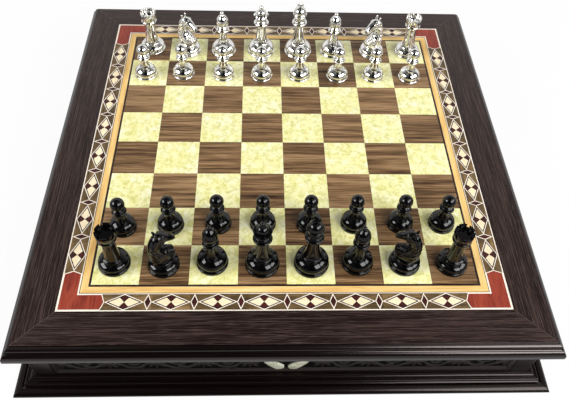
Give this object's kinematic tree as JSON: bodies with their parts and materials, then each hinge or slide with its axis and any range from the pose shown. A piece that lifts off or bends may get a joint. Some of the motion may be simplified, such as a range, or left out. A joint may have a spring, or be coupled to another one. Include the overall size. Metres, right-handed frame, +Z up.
{
  "type": "chess box with drawers",
  "caption": "Square wooden box with a marquetry chessboard top, a carved drawer at the front and back, and cast chessmen standing on it.",
  "frame": {"origin": "centre of the square that the felt feet stand on, at the foot of the box", "axes": "+Z up, -Y to the front, the side where the black men stand; +X to the right"},
  "size_m": [0.494, 0.494, 0.1483],
  "materials": {
    "wenge": "satin lacquer over dark, fine-grained wood",
    "beech": "plain sanded wood",
    "felt": "pressed felt",
    "pearl": "mottled cream pearl veneer, polished",
    "walnut": "satin lacquer",
    "maple": "satin lacquer",
    "white_line": "satin lacquer over pale stringing",
    "band_walnut": "satin lacquer",
    "cream_veneer": "satin lacquer",
    "dark_red_veneer": "satin lacquer",
    "padauk": "satin lacquer",
    "velvet": "velvet glued over thin board",
    "black_metal": "high-gloss black enamel on cast metal",
    "silver_metal": "polished nickel plate on cast metal"
  },
  "bodies": {
    "box": {"base_moulding": "wenge", "bottom_board": "beech", "corner_posts": "wenge", "carved_side_panels": "wenge", "bay_divider": "beech", "drawer_runners": "beech", "felt_feet": "felt", "board_core": "beech", "frame_rails": "wenge", "light_squares": "pearl", "dark_squares": "walnut", "dark_lines": "wenge", "maple_border": "maple", "white_stringing": "white_line", "band_ground": "band_walnut", "band_diamonds": "cream_veneer", "band_red_pieces": "dark_red_veneer", "corner_elbows": "padauk"},
    "front_drawer": {"front_drawer_front": "wenge", "front_drawer_sides": "beech", "front_drawer_bottom": "beech", "front_drawer_partitions": "velvet", "front_pearl_leaves": "pearl"},
    "back_drawer": {"back_drawer_front": "wenge", "back_drawer_sides": "beech", "back_drawer_bottom": "beech", "back_drawer_partitions": "velvet", "back_pearl_leaves": "pearl"},
    "man_black_left_rook": {"black_left_rook": "black_metal"},
    "man_black_left_knight": {"black_left_knight": "black_metal"},
    "man_black_left_bishop": {"black_left_bishop": "black_metal"},
    "man_black_queen": {"black_queen": "black_metal"},
    "man_black_king": {"black_king": "black_metal"},
    "man_black_right_bishop": {"black_right_bishop": "black_metal"},
    "man_black_right_knight": {"black_right_knight": "black_metal"},
    "man_black_right_rook": {"black_right_rook": "black_metal"},
    "man_black_pawn_1": {"black_pawn_1": "black_metal"},
    "man_black_pawn_2": {"black_pawn_2": "black_metal"},
    "man_black_pawn_3": {"black_pawn_3": "black_metal"},
    "man_black_pawn_4": {"black_pawn_4": "black_metal"},
    "man_black_pawn_5": {"black_pawn_5": "black_metal"},
    "man_black_pawn_6": {"black_pawn_6": "black_metal"},
    "man_black_pawn_7": {"black_pawn_7": "black_metal"},
    "man_black_pawn_8": {"black_pawn_8": "black_metal"},
    "man_silver_left_rook": {"silver_left_rook": "silver_metal"},
    "man_silver_left_knight": {"silver_left_knight": "silver_metal"},
    "man_silver_left_bishop": {"silver_left_bishop": "silver_metal"},
    "man_silver_queen": {"silver_queen": "silver_metal"},
    "man_silver_king": {"silver_king": "silver_metal"},
    "man_silver_right_bishop": {"silver_right_bishop": "silver_metal"},
    "man_silver_right_knight": {"silver_right_knight": "silver_metal"},
    "man_silver_right_rook": {"silver_right_rook": "silver_metal"},
    "man_silver_pawn_1": {"silver_pawn_1": "silver_metal"},
    "man_silver_pawn_2": {"silver_pawn_2": "silver_metal"},
    "man_silver_pawn_3": {"silver_pawn_3": "silver_metal"},
    "man_silver_pawn_4": {"silver_pawn_4": "silver_metal"},
    "man_silver_pawn_5": {"silver_pawn_5": "silver_metal"},
    "man_silver_pawn_6": {"silver_pawn_6": "silver_metal"},
    "man_silver_pawn_7": {"silver_pawn_7": "silver_metal"},
    "man_silver_pawn_8": {"silver_pawn_8": "silver_metal"}
  },
  "joints": [
    {"name": "back_drawer_slide", "type": "slide", "parent": "box", "child": "back_drawer", "axis": [0, 1, 0], "range_m": [0, 0.16]},
    {"name": "front_drawer_slide", "type": "slide", "parent": "box", "child": "front_drawer", "axis": [0, -1, 0], "range_m": [0, 0.16]},
    {"name": "lift_black_left_rook", "type": "slide", "parent": "box", "child": "man_black_left_rook", "axis": [0, 0, 1], "range_m": [0, 0.1]},
    {"name": "lift_black_left_knight", "type": "slide", "parent": "box", "child": "man_black_left_knight", "axis": [0, 0, 1], "range_m": [0, 0.1]},
    {"name": "lift_black_left_bishop", "type": "slide", "parent": "box", "child": "man_black_left_bishop", "axis": [0, 0, 1], "range_m": [0, 0.1]},
    {"name": "lift_black_queen", "type": "slide", "parent": "box", "child": "man_black_queen", "axis": [0, 0, 1], "range_m": [0, 0.1]},
    {"name": "lift_black_king", "type": "slide", "parent": "box", "child": "man_black_king", "axis": [0, 0, 1], "range_m": [0, 0.1]},
    {"name": "lift_black_right_bishop", "type": "slide", "parent": "box", "child": "man_black_right_bishop", "axis": [0, 0, 1], "range_m": [0, 0.1]},
    {"name": "lift_black_right_knight", "type": "slide", "parent": "box", "child": "man_black_right_knight", "axis": [0, 0, 1], "range_m": [0, 0.1]},
    {"name": "lift_black_right_rook", "type": "slide", "parent": "box", "child": "man_black_right_rook", "axis": [0, 0, 1], "range_m": [0, 0.1]},
    {"name": "lift_black_pawn_1", "type": "slide", "parent": "box", "child": "man_black_pawn_1", "axis": [0, 0, 1], "range_m": [0, 0.1]},
    {"name": "lift_black_pawn_2", "type": "slide", "parent": "box", "child": "man_black_pawn_2", "axis": [0, 0, 1], "range_m": [0, 0.1]},
    {"name": "lift_black_pawn_3", "type": "slide", "parent": "box", "child": "man_black_pawn_3", "axis": [0, 0, 1], "range_m": [0, 0.1]},
    {"name": "lift_black_pawn_4", "type": "slide", "parent": "box", "child": "man_black_pawn_4", "axis": [0, 0, 1], "range_m": [0, 0.1]},
    {"name": "lift_black_pawn_5", "type": "slide", "parent": "box", "child": "man_black_pawn_5", "axis": [0, 0, 1], "range_m": [0, 0.1]},
    {"name": "lift_black_pawn_6", "type": "slide", "parent": "box", "child": "man_black_pawn_6", "axis": [0, 0, 1], "range_m": [0, 0.1]},
    {"name": "lift_black_pawn_7", "type": "slide", "parent": "box", "child": "man_black_pawn_7", "axis": [0, 0, 1], "range_m": [0, 0.1]},
    {"name": "lift_black_pawn_8", "type": "slide", "parent": "box", "child": "man_black_pawn_8", "axis": [0, 0, 1], "range_m": [0, 0.1]},
    {"name": "lift_silver_left_rook", "type": "slide", "parent": "box", "child": "man_silver_left_rook", "axis": [0, 0, 1], "range_m": [0, 0.1]},
    {"name": "lift_silver_left_knight", "type": "slide", "parent": "box", "child": "man_silver_left_knight", "axis": [0, 0, 1], "range_m": [0, 0.1]},
    {"name": "lift_silver_left_bishop", "type": "slide", "parent": "box", "child": "man_silver_left_bishop", "axis": [0, 0, 1], "range_m": [0, 0.1]},
    {"name": "lift_silver_queen", "type": "slide", "parent": "box", "child": "man_silver_queen", "axis": [0, 0, 1], "range_m": [0, 0.1]},
    {"name": "lift_silver_king", "type": "slide", "parent": "box", "child": "man_silver_king", "axis": [0, 0, 1], "range_m": [0, 0.1]},
    {"name": "lift_silver_right_bishop", "type": "slide", "parent": "box", "child": "man_silver_right_bishop", "axis": [0, 0, 1], "range_m": [0, 0.1]},
    {"name": "lift_silver_right_knight", "type": "slide", "parent": "box", "child": "man_silver_right_knight", "axis": [0, 0, 1], "range_m": [0, 0.1]},
    {"name": "lift_silver_right_rook", "type": "slide", "parent": "box", "child": "man_silver_right_rook", "axis": [0, 0, 1], "range_m": [0, 0.1]},
    {"name": "lift_silver_pawn_1", "type": "slide", "parent": "box", "child": "man_silver_pawn_1", "axis": [0, 0, 1], "range_m": [0, 0.1]},
    {"name": "lift_silver_pawn_2", "type": "slide", "parent": "box", "child": "man_silver_pawn_2", "axis": [0, 0, 1], "range_m": [0, 0.1]},
    {"name": "lift_silver_pawn_3", "type": "slide", "parent": "box", "child": "man_silver_pawn_3", "axis": [0, 0, 1], "range_m": [0, 0.1]},
    {"name": "lift_silver_pawn_4", "type": "slide", "parent": "box", "child": "man_silver_pawn_4", "axis": [0, 0, 1], "range_m": [0, 0.1]},
    {"name": "lift_silver_pawn_5", "type": "slide", "parent": "box", "child": "man_silver_pawn_5", "axis": [0, 0, 1], "range_m": [0, 0.1]},
    {"name": "lift_silver_pawn_6", "type": "slide", "parent": "box", "child": "man_silver_pawn_6", "axis": [0, 0, 1], "range_m": [0, 0.1]},
    {"name": "lift_silver_pawn_7", "type": "slide", "parent": "box", "child": "man_silver_pawn_7", "axis": [0, 0, 1], "range_m": [0, 0.1]},
    {"name": "lift_silver_pawn_8", "type": "slide", "parent": "box", "child": "man_silver_pawn_8", "axis": [0, 0, 1], "range_m": [0, 0.1]}
  ]
}
